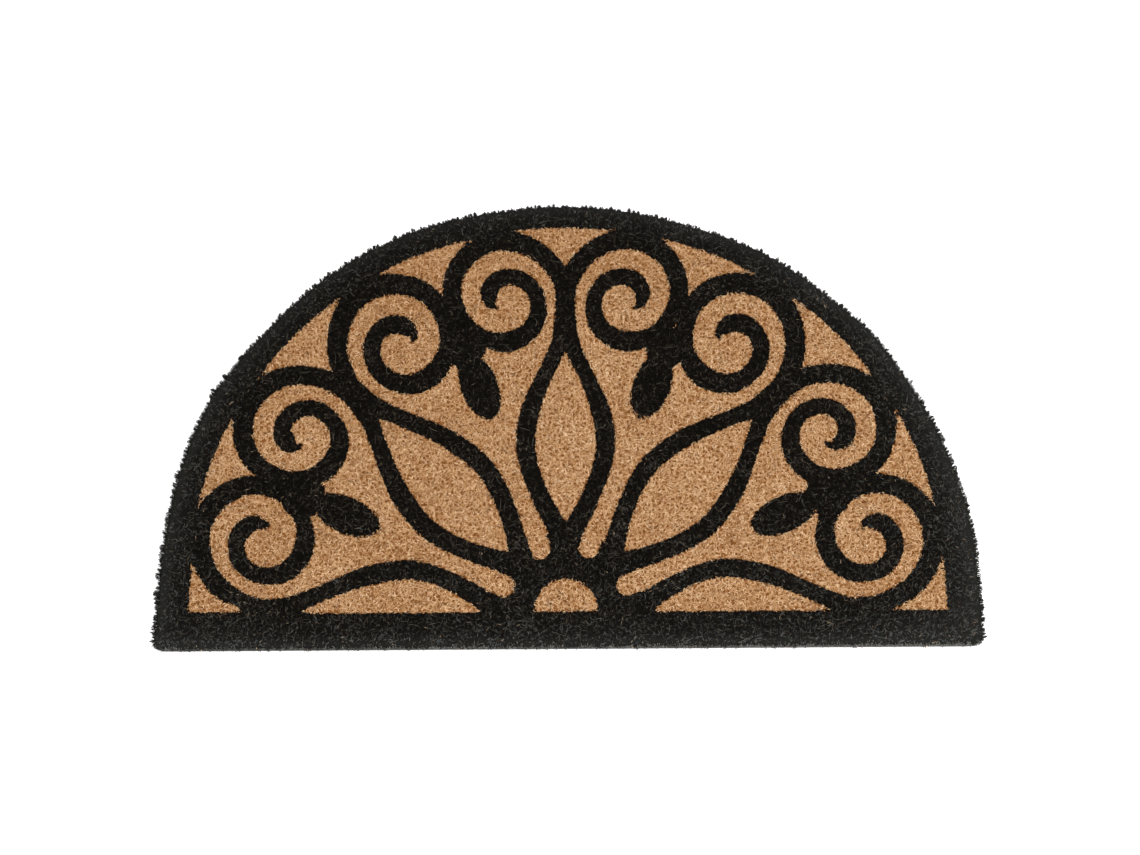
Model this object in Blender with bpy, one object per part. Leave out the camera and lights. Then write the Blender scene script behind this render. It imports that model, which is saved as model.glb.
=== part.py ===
"""Half-moon coir doormat: a vinyl sheet with a slab of short, dense coir pile standing in it.

Metres, +Z up. The mat lies on z = 0 with its straight edge towards -Y, and the origin is the
middle of its underside.
"""

import math
from collections import namedtuple

import bpy
import numpy as np
from mathutils import Vector
from mathutils.geometry import delaunay_2d_cdt

# The cut edge, which the backing shows
CUT_WIDTH = 0.750  # along the straight edge, and across the half circle
CUT_DEPTH = 0.450  # from the straight edge to the crown of the half circle
CORNER_RADIUS = 0.006  # the two front corners are a little round
HALF_WIDTH = CUT_WIDTH / 2
FRONT_Y = -CUT_DEPTH / 2
ROUND_CENTRE_Y = CUT_DEPTH / 2 - HALF_WIDTH

# The cut wanders in and out of the true half moon, except along the straight front.
# A row gives the direction seen from the half circle's centre, in degrees from +X, and the distance out.
Wander = namedtuple("Wander", "direction out")
EDGE_WANDER = (
    Wander(direction=-11.5, out=0.0000),
    Wander(direction=-10.4, out=0.0018),
    Wander(direction=3, out=0.0016),
    Wander(direction=20, out=-0.0011),
    Wander(direction=32, out=-0.0009),
    Wander(direction=39, out=0.0014),
    Wander(direction=46, out=-0.0010),
    Wander(direction=57, out=0.0005),
    Wander(direction=70, out=-0.0027),
    Wander(direction=90, out=-0.0011),
    Wander(direction=100, out=-0.0008),
    Wander(direction=114, out=0.0030),
    Wander(direction=129, out=0.0025),
    Wander(direction=140, out=-0.0007),
    Wander(direction=152, out=0.0026),
    Wander(direction=172, out=-0.0031),
    Wander(direction=190.4, out=-0.0008),
    Wander(direction=191.5, out=0.0000),
)

# Heights
MAT_HEIGHT = 0.016
BACKING_THICKNESS = 0.002
GAP = 0.0003  # between the backing and the pile

# Tufts along the pile's rim, which lean out past the cut edge
TUFT_WIDTH = 0.009  # from one tuft's tip to the next
TUFT_DEPTH = 0.0032  # how far the deepest gap between two tufts falls back
TIP_SHARES = (0.0, 0.45)  # a tuft's tip falls back by a share of the depth in this range
GAP_SHARES = (0.55, 1.0)  # and the gap beside it by one in this range
RIM_SEED = 7

# Rows up the rim: height, how far the longest tufts reach past the cut, share of the tuft depth
RimRow = namedtuple("RimRow", "height reach tufts")
RIM_ROWS = (
    RimRow(height=BACKING_THICKNESS + GAP, reach=0.0000, tufts=0.2),
    RimRow(height=0.0075, reach=0.0020, tufts=0.6),
    RimRow(height=0.0132, reach=0.0042, tufts=1.0),
    RimRow(height=0.0154, reach=0.0020, tufts=1.0),
    RimRow(height=0.0158, reach=-0.0040, tufts=0.5),
)

# The sheared top dips a little between its high places
TOP_CELL = 0.026  # spacing of the points across the top
TOP_DIP = 0.0010
TOP_WAVES = (0.095, 0.070)  # lengths of the two crossing waves, along x and y
TOP_WAVE_SLANT = 0.45  # how much each wave leans across the other's direction

BACKING_STEP = 0.014  # between points on the backing's edge
DENSE_POINTS = 400  # points on each arc before the edge is divided evenly
SAME_POINT = 1e-7  # points of a filled outline that lie closer than this are one
SHARP_ANGLE = math.radians(40)  # edges that turn more than this stay crisp

# Finishes: colour and roughness
VINYL = ((0.016, 0.015, 0.014), 0.5)
COIR = ((0.474, 0.262, 0.125), 0.9)


def clear_scene():
    """Removes every object that the file opened with."""
    for obj in list(bpy.data.objects):
        bpy.data.objects.remove(obj, do_unlink=True)


def make_material(name, colour, roughness):
    """A Principled material of one colour, with no metal in it."""
    material = bpy.data.materials.new(name)
    material.use_nodes = True
    shader = material.node_tree.nodes["Principled BSDF"]
    shader.inputs["Base Color"].default_value = (*colour, 1.0)
    shader.inputs["Roughness"].default_value = roughness
    shader.inputs["Metallic"].default_value = 0.0
    return material


def add_object(name, points, faces, material):
    """A mesh object from points and faces, in the scene's collection."""
    mesh = bpy.data.meshes.new(name)
    mesh.from_pydata([tuple(point) for point in points], [], faces)
    mesh.validate()
    mesh.shade_smooth()
    mesh.set_sharp_from_angle(angle=SHARP_ANGLE)
    mesh.materials.append(material)
    obj = bpy.data.objects.new(name, mesh)
    bpy.context.scene.collection.objects.link(obj)
    return obj


def arc(centre_x, centre_y, radius, start, end):
    """Points along an arc, from one angle to another in degrees."""
    angles = np.radians(np.linspace(start, end, DENSE_POINTS))
    return np.column_stack((centre_x + radius * np.cos(angles), centre_y + radius * np.sin(angles)))


def wander(points):
    """How far out the cut runs at each point of the true half moon."""
    direction = np.degrees(np.arctan2(points[:, 1] - ROUND_CENTRE_Y, points[:, 0]))
    direction = np.where(direction < -90, direction + 360, direction)
    table = np.array(EDGE_WANDER)
    return np.interp(direction, table[:, 0], table[:, 1])


def cut_edge(count):
    """Evenly spaced points around the half moon, anticlockwise, and their outward normals.

    Two corner arcs and the half circle are joined by straight runs, which closes the outline, and
    each point then moves out by the cut's wander.
    """
    corner_x = HALF_WIDTH - CORNER_RADIUS
    corner_y = FRONT_Y + CORNER_RADIUS
    outline = np.vstack((
        arc(corner_x, corner_y, CORNER_RADIUS, -90, 0),
        arc(0, ROUND_CENTRE_Y, HALF_WIDTH, 0, 180),
        arc(-corner_x, corner_y, CORNER_RADIUS, 180, 270),
    ))
    closed = np.vstack((outline, outline[:1]))
    run = np.concatenate(([0], np.cumsum(np.hypot(*np.diff(closed, axis=0).T))))
    places = np.arange(count) * run[-1] / count
    points = np.column_stack([np.interp(places, run, closed[:, i]) for i in (0, 1)])
    along = np.roll(points, -1, axis=0) - np.roll(points, 1, axis=0)
    normals = np.column_stack((along[:, 1], -along[:, 0])) / np.hypot(*along.T)[:, None]
    return points + normals * wander(points)[:, None], normals


def edge_length():
    """Length of the cut edge: the straight runs, the half circle and the two round corners."""
    front = CUT_WIDTH - 2 * CORNER_RADIUS
    side = CUT_DEPTH - HALF_WIDTH - CORNER_RADIUS
    return front + 2 * side + math.pi * HALF_WIDTH + math.pi * CORNER_RADIUS


def inside_edge(x, y, margin):
    """Whether points lie inside the cut edge by at least a margin."""
    in_strip = (y > FRONT_Y + margin) & (np.abs(x) < HALF_WIDTH - margin)
    in_round = np.hypot(x, y - ROUND_CENTRE_Y) < HALF_WIDTH - margin
    return in_strip & ((y < ROUND_CENTRE_Y) | in_round)


def top_height(x, y):
    """Height of the top: two crossing waves, each slanted, dip it below the full height."""
    across = np.sin(2 * math.pi * (x + TOP_WAVE_SLANT * y) / TOP_WAVES[0])
    deep = np.sin(2 * math.pi * (y - TOP_WAVE_SLANT * x) / TOP_WAVES[1])
    return MAT_HEIGHT - TOP_DIP * (0.5 - 0.5 * across * deep)


def top_grid():
    """Points across the top in staggered rows, inside the rim by half a cell."""
    columns = np.arange(-HALF_WIDTH, HALF_WIDTH, TOP_CELL)
    rows = np.arange(FRONT_Y, CUT_DEPTH / 2, TOP_CELL * math.sqrt(3) / 2)
    x, y = np.meshgrid(columns, rows)
    x = x + np.where(np.arange(len(rows)) % 2, TOP_CELL / 2, 0)[:, None]
    keep = inside_edge(x, y, -RIM_ROWS[-1].reach + TOP_CELL / 2)
    return np.column_stack((x[keep], y[keep]))


def filled(outline, inner):
    """Triangles that fill a closed outline and pass through the inner points, facing up."""
    points = [Vector(point) for point in np.vstack((outline, inner))]
    ring = list(range(len(outline)))
    inside_only = 1
    found = delaunay_2d_cdt(points, [], [ring], inside_only, SAME_POINT)
    origin = [names[0] for names in found[3]]
    return [tuple(origin[i] for i in face) for face in found[2]]


def make_backing():
    """The vinyl sheet: the half moon, raised straight up by its thickness."""
    count = round(edge_length() / BACKING_STEP)
    edge, _ = cut_edge(count)
    lower = np.column_stack((edge, np.zeros(count)))
    upper = np.column_stack((edge, np.full(count, BACKING_THICKNESS)))
    top = filled(edge, np.empty((0, 2)))
    faces = [tuple(i + count for i in face) for face in top]
    faces += [tuple(reversed(face)) for face in top]
    faces += [(i, (i + 1) % count, (i + 1) % count + count, i + count) for i in range(count)]
    return add_object("backing", np.vstack((lower, upper)), faces, make_material("vinyl", *VINYL))


def make_pile():
    """The coir slab: tufted rows up the rim, closed by a flat base and an uneven top."""
    tufts = round(edge_length() / TUFT_WIDTH)
    count = 2 * tufts
    edge, normals = cut_edge(count)
    rng = np.random.default_rng(RIM_SEED)
    shares = np.column_stack((rng.uniform(*TIP_SHARES, tufts), rng.uniform(*GAP_SHARES, tufts)))
    fall = TUFT_DEPTH * shares.reshape(-1)
    rings = []
    for row in RIM_ROWS:
        reach = row.reach - row.tufts * fall
        ring = edge + normals * reach[:, None]
        rings.append(np.column_stack((ring, np.full(count, row.height))))
    base = filled(rings[0][:, :2], np.empty((0, 2)))
    faces = [tuple(reversed(face)) for face in base]
    for level in range(len(rings) - 1):
        low = level * count
        for i in range(count):
            after = (i + 1) % count
            faces.append((low + i, low + after, low + count + after, low + count + i))
    grid = top_grid()
    crown = np.column_stack((grid, top_height(*grid.T)))
    last_ring = (len(rings) - 1) * count
    faces += [tuple(i + last_ring for i in face) for face in filled(rings[-1][:, :2], grid)]
    return add_object("pile", np.vstack(rings + [crown]), faces, make_material("coir", *COIR))


clear_scene()
make_backing()
make_pile()
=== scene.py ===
import math

import bpy
import numpy as np
from mathutils import Matrix


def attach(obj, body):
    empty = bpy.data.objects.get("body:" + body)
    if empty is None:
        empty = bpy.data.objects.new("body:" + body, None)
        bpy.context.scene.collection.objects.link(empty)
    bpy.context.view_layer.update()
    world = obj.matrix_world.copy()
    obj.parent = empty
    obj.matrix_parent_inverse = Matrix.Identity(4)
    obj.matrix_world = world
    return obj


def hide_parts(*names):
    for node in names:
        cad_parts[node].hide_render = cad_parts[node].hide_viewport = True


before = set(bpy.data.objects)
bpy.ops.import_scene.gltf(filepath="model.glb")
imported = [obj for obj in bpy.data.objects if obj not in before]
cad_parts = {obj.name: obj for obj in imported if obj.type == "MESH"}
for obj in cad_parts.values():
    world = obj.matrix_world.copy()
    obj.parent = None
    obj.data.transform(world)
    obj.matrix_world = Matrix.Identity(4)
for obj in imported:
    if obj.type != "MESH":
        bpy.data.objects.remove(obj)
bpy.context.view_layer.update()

mm = 0.001
print("frame loaded")


# Camera, floor and light

view = dict(
    lens=64.5, sensor=36,  # in mm
    distance=1.945,  # from the middle of the mat, in metres
    height=67.52, roll=-0.37,  # degrees above the floor, and how much the photo leans
    aim=(0, 0, 0.008), shift=(0.0036, -0.008),
)
studio = dict(
    floor=(0.97, 0.97, 0.97), floorRoughness=0.9, floorRadius=12, floorSides=96,
    sky=(1, 1, 1), skyStrength=1.7,
    lampSize=2, lampPlace=(0.8, -0.8, 2.2), lampPower=64,
)


def addObject(name, data):
    # a new object in the scene
    made = bpy.data.objects.new(name, data)
    bpy.context.scene.collection.objects.link(made)
    return made


def newMaterial(name, roughness, specular=0.5):
    # a material, its nodes and its shader
    material = bpy.data.materials.new(name)
    material.use_nodes = True
    shader = material.node_tree.nodes["Principled BSDF"]
    shader.inputs["Roughness"].default_value = roughness
    shader.inputs["Specular IOR Level"].default_value = specular
    return material, material.node_tree, shader


def addCamera():
    # the camera looks down at the aim from the front, then turns about its own axis
    data = bpy.data.cameras.new("camera")
    data.lens = view["lens"]
    data.sensor_width = view["sensor"]
    data.shift_x, data.shift_y = view["shift"]
    camera = addObject("camera", data)
    height, roll = math.radians(view["height"]), math.radians(view["roll"])
    back, up = view["distance"] * math.cos(height), view["distance"] * math.sin(height)
    aimX, aimY, aimZ = view["aim"]
    turn = Matrix.Rotation(math.pi / 2 - height, 4, "X") @ Matrix.Rotation(roll, 4, "Z")
    camera.matrix_world = Matrix.Translation((aimX, aimY - back, aimZ + up)) @ turn
    bpy.context.scene.camera = camera


def addStudio():
    # a round pale floor, an even sky, and one large lamp above the front right
    sides, radius = studio["floorSides"], studio["floorRadius"]
    angles = np.linspace(0, 2 * math.pi, sides, endpoint=False)
    mesh = bpy.data.meshes.new("floor")
    mesh.from_pydata([(radius * math.cos(a), radius * math.sin(a), 0) for a in angles], [], [tuple(range(sides))])
    paint, _, shader = newMaterial("floorPaint", studio["floorRoughness"])
    shader.inputs["Base Color"].default_value = (*studio["floor"], 1)
    mesh.materials.append(paint)
    floor = addObject("floor", mesh)
    world = bpy.data.worlds.new("studio")
    world.use_nodes = True
    sky = world.node_tree.nodes["Background"]
    sky.inputs["Color"].default_value = (*studio["sky"], 1)
    sky.inputs["Strength"].default_value = studio["skyStrength"]
    bpy.context.scene.world = world
    light = bpy.data.lights.new("lamp", "AREA")
    light.size = studio["lampSize"]
    light.energy = studio["lampPower"]
    lamp = addObject("lamp", light)
    lamp.location = studio["lampPlace"]
    lamp.rotation_euler = (-lamp.location).to_track_quat("-Z", "Y").to_euler()


addCamera()
addStudio()
bpy.context.scene.view_settings.view_transform = "Standard"  # the photo's white is plain white
print("camera, floor and light placed")


# Outline of the mat, as the CAD solids have it

mat = dict(
    halfWidth=0.375, frontY=-0.225, roundY=-0.15, cornerRadius=0.006, arcPoints=400,
    top=0.016, topDip=0.001, waveX=0.095, waveY=0.07, waveSlant=0.45,
)
# the cut wanders in and out: direction from the half circle's centre in degrees, distance out
edgeWander = [
    (-11.5, 0), (-10.4, 0.0018), (3, 0.0016), (20, -0.0011), (32, -0.0009), (39, 0.0014), (46, -0.001),
    (57, 0.0005), (70, -0.0027), (90, -0.0011), (100, -0.0008), (114, 0.003), (129, 0.0025), (140, -0.0007),
    (152, 0.0026), (172, -0.0031), (190.4, -0.0008), (191.5, 0),
]
rim = dict(
    tuftWidth=0.009, tuftDepth=0.0032, tips=(0, 0.45), gaps=(0.55, 1), seed=7,
    # height, how far the longest tufts reach past the cut, share of the tuft depth
    rows=[
        (0.0023, 0, 0.2), (0.0075, 0.002, 0.6), (0.0132, 0.0042, 1), (0.0154, 0.002, 1), (0.0158, -0.004, 0.5),
    ],
)


def wander(x, y):
    # straight lines between the table's rows, by the direction seen from the half circle's centre
    direction = np.degrees(np.arctan2(y - mat["roundY"], x))
    direction = np.where(direction < -90, direction + 360, direction)
    return np.interp(direction, *np.array(edgeWander).T)


def edgeLength():
    # the straight front, the two short sides, the half circle and the two corner rounds
    radius, half = mat["cornerRadius"], mat["halfWidth"]
    side = mat["roundY"] - mat["frontY"] - radius
    return 2 * (half - radius) + 2 * side + math.pi * (half + radius)


def cutEdge(count):
    # evenly spaced points round the half moon, anticlockwise from the front right corner, with outward normals:
    # corner arc, half circle and corner arc joined by straight runs, each point then moved out by the wander
    half, radius = mat["halfWidth"], mat["cornerRadius"]
    runs = []
    for centreX, centreY, size, start, end in (
        (half - radius, mat["frontY"] + radius, radius, -90, 0),
        (0, mat["roundY"], half, 0, 180),
        (radius - half, mat["frontY"] + radius, radius, 180, 270),
    ):
        angle = np.radians(np.linspace(start, end, mat["arcPoints"]))
        runs.append(np.column_stack((centreX + size * np.cos(angle), centreY + size * np.sin(angle))))
    outline = np.vstack(runs)
    closed = np.vstack((outline, outline[:1]))
    travelled = np.concatenate(([0], np.cumsum(np.hypot(*np.diff(closed, axis=0).T))))
    places = np.arange(count) * travelled[-1] / count
    points = np.column_stack([np.interp(places, travelled, closed[:, i]) for i in (0, 1)])
    along = np.roll(points, -1, axis=0) - np.roll(points, 1, axis=0)
    normals = np.column_stack((along[:, 1], -along[:, 0])) / np.hypot(*along.T)[:, None]
    return points + normals * wander(*points.T)[:, None], normals


def tuftFall(place):
    # how far the rim falls back at a place from 0 to 1 round the edge: tips and gaps take turns, one of each a tuft
    tufts = round(edgeLength() / rim["tuftWidth"])
    rng = np.random.default_rng(rim["seed"])
    shares = np.column_stack((rng.uniform(*rim["tips"], tufts), rng.uniform(*rim["gaps"], tufts))).reshape(-1)
    at = place * 2 * tufts
    low = np.floor(at).astype(int)
    share = shares[low % (2 * tufts)] * (1 - at + low) + shares[(low + 1) % (2 * tufts)] * (at - low)
    return rim["tuftDepth"] * share


def insideCut(x, y):
    # how far inside the cut a point lies, and the outward direction there: the least of the distances to the
    # front, the side or half circle and the corner round, plus the wander
    half, radius = mat["halfWidth"], mat["cornerRadius"]
    rise = y - mat["roundY"]
    far = np.hypot(x, rise)
    above = rise > 0
    depth = np.where(above, half - far, half - np.abs(x))
    outX = np.where(above, x / np.maximum(far, mm), np.sign(x))
    outY = np.where(above, rise / np.maximum(far, mm), 0)
    front = y - mat["frontY"]
    ahead = front < depth
    depth = np.where(ahead, front, depth)
    outX = np.where(ahead, 0, outX)
    outY = np.where(ahead, -1, outY)
    cornerX, cornerY = np.abs(x) - half + radius, mat["frontY"] + radius - y
    inCorner = (cornerX > 0) & (cornerY > 0)
    depth = np.where(inCorner, radius - np.hypot(cornerX, cornerY), depth)
    return depth + wander(x, y), outX, outY


def topHeight(x, y):
    # two crossing waves, each slanted, dip the sheared top below the full height
    across = np.sin(2 * math.pi * (x + mat["waveSlant"] * y) / mat["waveX"])
    deep = np.sin(2 * math.pi * (y - mat["waveSlant"] * x) / mat["waveY"])
    return mat["top"] - mat["topDip"] * (0.5 - 0.5 * across * deep)


fullTurn = 6.283  # in radians
rippleWaves = 14


def ripple(x, y, seed, shortest, longest):
    # smooth unevenness, mostly between -1 and 1: sine waves of random directions, between two lengths, are added
    rng = np.random.default_rng(seed)
    lengths = rng.uniform(shortest, longest, rippleWaves)
    headings, starts = rng.uniform(0, fullTurn, (2, rippleWaves))
    total = np.zeros(np.shape(x))
    for length, heading, start in zip(lengths, headings, starts):
        total += np.sin(fullTurn * (x * math.cos(heading) + y * math.sin(heading)) / length + start)
    return total / 4


# Dyed pattern: a fan of petals and scrolls, in millimetres from the front cut's middle

fan = dict(
    middleX=-1, hubY=31.6,  # the hub: across from the mat's middle, and up from the front cut
    stretch=1.067,  # the fan is drawn this much taller than round
    sun=28.8,  # radius of the plain half disc in the hub
    channelFoot=61.2, channelEnd=9.3,  # where the channels between petals start, and the radius of their ends
    hubReach=10,  # the hub's black reaches this far past the channels' start
    stemFrom=38, stemTo=296, stemSlant=1.2,  # a petal's outline starts and ends here, with a slanted end
    edgeMiddle=160, edgeIn=77, edgeOut=80,  # its table's row at the leaf's widest place, and on to the tips
    leafPower=1.75, leafLeast=-9,  # power 2 makes a leaf's sides plain parabolas
    scrollReach=80,  # nothing of a scroll is further from its centre
    hookFrom=490, hookGrow=40,  # the hook is what the stroke turns past this, and it broadens over this
    dropAlong=34.2, dropBlend=3,  # half the length of the drop that hangs from a pair of scrolls
    knotReach=267, knotSize=21.2,  # and the knot that joins the pair
    meetBlend=4, tipBlend=4.5,  # rounding where strokes meet, and at the field's corners,
    crownBlend=1.5, crownHalf=70, crownFade=10, crownFrom=300,  # which is less at the crown
)
# the border's inner edge: its straight sides, and the arc, which power 2 makes an ellipse
field = dict(left=344.7, right=347.8, arcX=0.5, arcY=68.2, across=348.8, above=356.9, power=2.05)
# the border's straight inner edge along the front: across, height above the front cut
frontLine = [(-345, 33.4), (-300, 33.4), (-240, 31.4), (0, 31.9), (90, 31.3), (345, 31.3)]
# petal: direction from the hub, plain leaf's inner tip, widest place and outer tip, its half width, outline's share
petals = [
    (-0.5, 78.4, 146.3, 244.4, 30.7, 1.02), (44.9, 76.6, 152.4, 249.4, 30, 1.02), (89.8, 81.9, 155.1, 242.5, 28.3, 1),
    (134.5, 76.1, 150.2, 251, 29.4, 1.02), (179.7, 77.7, 144.2, 240.8, 28.2, 0.985),
]
# outline of a petal and its stem: distance from the hub, half width
petalEdge = [
    (40, 8), (65, 14.5), (105, 32.4), (135, 43.1), (155, 47), (190, 42.8), (230, 23.3), (250, 14.4), (270, 11),
    (297, 10),
]
# scroll: direction from the hub, distance, the side its partner is on, shift that way, size, turn, and how long
# and how broad its hook is, as shares of the stroke below
scrolls = [
    (11.8, 292.7, 1, 4.1, 0.984, 5.3, 0.85, 1), (34.6, 301.3, -1, 4.6, 0.985, -7.5, 1.2, 1.15),
    (56.9, 302.4, 1, 0.1, 1.056, -2.8, 0.87, 1), (78, 305.7, -1, -4, 1.016, -1, 1.1, 1),
    (101.5, 305.1, 1, -4.2, 1.008, 4.4, 0.95, 1.15), (124.2, 301.2, -1, 9.4, 1.056, -2.9, 0.95, 1),
    (146.4, 302.1, 1, -1.4, 0.991, -9.6, 1.1, 1.3), (168.7, 293, -1, 8.8, 0.965, 15.5, 0.75, 0.85),
]
# stroke of a scroll, from its petal inwards: turn, distance of its middle from the scroll's centre, width
scrollStroke = [
    (-35, 57.9, 5.2), (0, 55.7, 17.9), (35, 54.3, 19.6), (90, 56.6, 21.5), (145, 53.6, 19.7), (200, 48, 17.8),
    (225, 46.4, 16.6), (255, 45.7, 20.5), (290, 41.3, 19.8), (335, 31.2, 17.6), (372, 24.7, 17.5), (410, 20.2, 17.9),
    (477, 17.1, 18.3), (520, 16.3, 16.1), (545, 15.8, 12.4), (566, 16.7, 6.7), (590, 13.2, 2.3),
]
# drop under a pair of scrolls: direction, distance of its middle, half width; and direction of the channel below it
drops = [(23.2, 221.8, 17.2, 22.5), (68.4, 225.8, 18, 69.7), (111.2, 225.1, 18.1, 112.7), (156.5, 222.4, 17, 158)]
farOff = 1e3  # mm, a distance that no stroke is near


def unit(value):
    # kept between 0 and 1
    return np.clip(value, 0, 1)


def smoothTable(at, rows, column):
    # a smooth curve through the rows: each piece leaves and arrives with the slope of its neighbours
    rows = np.array(rows, float)
    x, y = rows[:, 0], rows[:, column]
    slope = np.gradient(y, x)
    i = np.clip(np.searchsorted(x, at) - 1, 0, len(x) - 2)
    width = x[i + 1] - x[i]
    t = unit((at - x[i]) / width)
    stay = 1 - 3 * t ** 2 + 2 * t ** 3
    bend = t * (1 - t) ** 2 * slope[i] - t ** 2 * (1 - t) * slope[i + 1]
    return stay * y[i] + (1 - stay) * y[i + 1] + width * bend


def softMin(a, b, blend):
    # the smaller of two, rounded where they meet
    h = unit(0.5 + 0.5 * (b - a) / blend)
    return b + (a - b) * h - blend * h * (1 - h)


def turned(x, y, direction):
    # distance along a direction from the hub, and off to its left
    cos, sin = math.cos(math.radians(direction)), math.sin(math.radians(direction))
    return x * cos + y * sin, y * cos - x * sin


def petalBand(x, y):
    # a petal is the band between its outline and the plain leaf inside it, both symmetric about its direction
    black = np.full(x.shape, farOff)
    for direction, inner, widest, outer, half, share in petals:
        along, side = turned(x, y, direction)
        side = np.abs(side)
        beyond = along > widest
        s = np.where(beyond, (along - widest) / (outer - widest), (along - widest) / (widest - inner))
        leaf = np.maximum(half * (1 - np.abs(s) ** fan["leafPower"]), fan["leafLeast"])
        row = fan["edgeMiddle"] + np.where(beyond, fan["edgeOut"], fan["edgeIn"]) * s
        band = np.maximum(side - smoothTable(row, petalEdge, 1) * share, leaf - side)
        off = (along < fan["stemFrom"]) | (along - fan["stemSlant"] * side > fan["stemTo"])
        black = np.minimum(black, np.where(off, farOff, band))
    return black


def scrollBand(x, y):
    # a scroll is a stroke that winds inwards: its middle and width depend on how far it has turned
    black = np.full(x.shape, farOff)
    for direction, reach, towards, shift, size, tilt, long, broad in scrolls:
        along, side = turned(x, y, direction)
        u, v = (along - reach) / size, (towards * side - shift) / size
        far = np.hypot(u, v)
        near = far < fan["scrollReach"]
        turn = np.degrees(np.arctan2(u[near], -v[near])) - tilt
        for wind in (0, 360, 720):
            hook = np.maximum(turn + wind - fan["hookFrom"], 0) / long
            t = np.minimum(turn + wind, fan["hookFrom"]) + hook
            width = smoothTable(t, scrollStroke, 2) * (1 + (broad - 1) * unit(hook / fan["hookGrow"]))
            band = np.abs(far[near] - smoothTable(t, scrollStroke, 1)) - width / 2
            off = (t < scrollStroke[0][0]) | (t > scrollStroke[-1][0])
            black[near] = np.minimum(black[near], np.where(off, farOff, band))
    return black


def dyeDepth(x, y):
    # how many millimetres a point lies inside the dyed black, less than nothing where the coir is plain
    across, above = x / mm - fan["middleX"], (y - mat["frontY"]) / mm
    fanX, fanY = across, (above - fan["hubY"]) / fan["stretch"]
    black = softMin(petalBand(fanX, fanY), scrollBand(fanX, fanY), fan["meetBlend"])
    # the hub is black but for the sun and the channels, which have round ends
    plain, beyond = fan["sun"] - np.hypot(fanX, fanY), np.full(x.shape, -farOff)
    for direction, middle, half, channel in drops:
        along, side = turned(fanX, fanY, direction)
        drop = (np.hypot((along - middle) / fan["dropAlong"], side / half) - 1) * half
        black = softMin(black, drop, fan["dropBlend"])
        black = np.minimum(black, np.hypot(along - fan["knotReach"], side) - fan["knotSize"])
        along, side = turned(fanX, fanY, channel)
        plain = np.maximum(plain, fan["channelEnd"] - np.hypot(np.minimum(along - fan["channelFoot"], 0), side))
        beyond = np.maximum(beyond, along - fan["channelFoot"])
    black = np.minimum(black, np.maximum(beyond - fan["hubReach"], plain))
    # outside the field all is border
    straight = above - np.interp(across, *np.array(frontLine).T)
    edge = np.minimum(np.minimum(field["right"] - across, field["left"] + across), straight)
    rise = np.maximum(above - field["arcY"], 0) * field["across"] / field["above"]
    power = field["power"]
    arc = field["across"] - (np.abs(across - field["arcX"]) ** power + rise ** power) ** (1 / power)
    edge = np.where(rise > 0, np.minimum(edge, arc), edge)
    crown = unit((fan["crownHalf"] - np.abs(across)) / fan["crownFade"]) * (above > fan["crownFrom"])
    return -softMin(black, edge, fan["tipBlend"] + (fan["crownBlend"] - fan["tipBlend"]) * crown)


print("outline and pattern ready")


# Materials

def linear(red, green, blue):
    # a colour as the eye reads it, 0 to 255, turned into light
    shares = [c / 255 for c in (red, green, blue)]
    return tuple(c / 12.92 if c <= 0.04045 else ((c + 0.055) / 1.055) ** 2.4 for c in shares) + (1,)


# for most kinds the root colour and its share are painted shade that darkens a fibre towards its foot, deep in the
# pile; the front face's kind is set apart below
coirTones = dict(
    dark=(115, 74, 38), middle=(166, 128, 88), light=(213, 186, 151),
    root=(95, 56, 25), rootShadingShare=0.7, roughness=0.85, specular=0.05,
    # the bed's colours, darker than the fibres: painted shade in the pits and gaps between them
    bedShadeDark=(74, 42, 17), bedShadeLight=(124, 80, 43),
)
dyedTones = dict(
    dark=(6, 5, 3), middle=(25, 22, 18), light=(72, 66, 57),
    root=(4, 3, 2), rootShadingShare=0.68, roughness=0.8, specular=0.015,
    # the bed's two darkest colours are painted shade in the gaps between the fibres; bedWorn is its greyer colour
    # where the share of wear and painted light is high
    bedShadeDark=(3, 2, 1), bedShadeLight=(9, 8, 6), bedWorn=(22, 22, 20),
)
# towards the edge the dye is worn, and ever more fibres are of this greyer kind; the extra ones on the right, on the
# near side and in the right front corner are painted light
wornTones = dict(dyedTones, dark=(20, 20, 18), middle=(43, 43, 41), light=(80, 81, 78), root=(13, 13, 12))
# a few fibres have hardly taken the dye
brownTones = dict(dyedTones, dark=(38, 31, 25), middle=(72, 61, 50), light=(138, 122, 102), root=(16, 12, 9))
rimTones = dict(
    dyedTones, dark=(14, 14, 12), middle=(50, 50, 47), light=(128, 127, 122), root=(12, 12, 10), rootShadingShare=0.1)
# the dye thins out down the front face, and the lighter root colour there is also painted light on that shaded face
frontTones = dict(rimTones, middle=(56, 56, 53), root=(112, 109, 102), rootShadingShare=0.7)
strayTones = dict(
    dark=(40, 38, 34), middle=(62, 59, 52), light=(108, 100, 86),
    root=(20, 19, 17), rootShadingShare=0.2, roughness=0.7, specular=0.05,
)
bedFinish = dict(
    roughness=0.85, specular=0.02, bump=0.0012,
    grain=700, contrast=2.6,  # size and strength of the mottle
    ragged=1.2, crisp=1.5,  # how far it shifts the dye's edge, in mm, and how sharp that edge is
)
vinyl = dict(
    dark=(22, 21, 20), light=(36, 35, 33), grain=900, contrast=2.2,
    roughness=0.5, roughnessSpread=0.2, specular=0.4, bump=0.00096,
)
# the grain's two sizes of noise: scale, detail, share
grainSizes = [(1, 3, 0.7), (0.22, 1, 0.3)]
rootShadingFade = 1.3  # how soon the root colour's painted shade fades up a fibre


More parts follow.
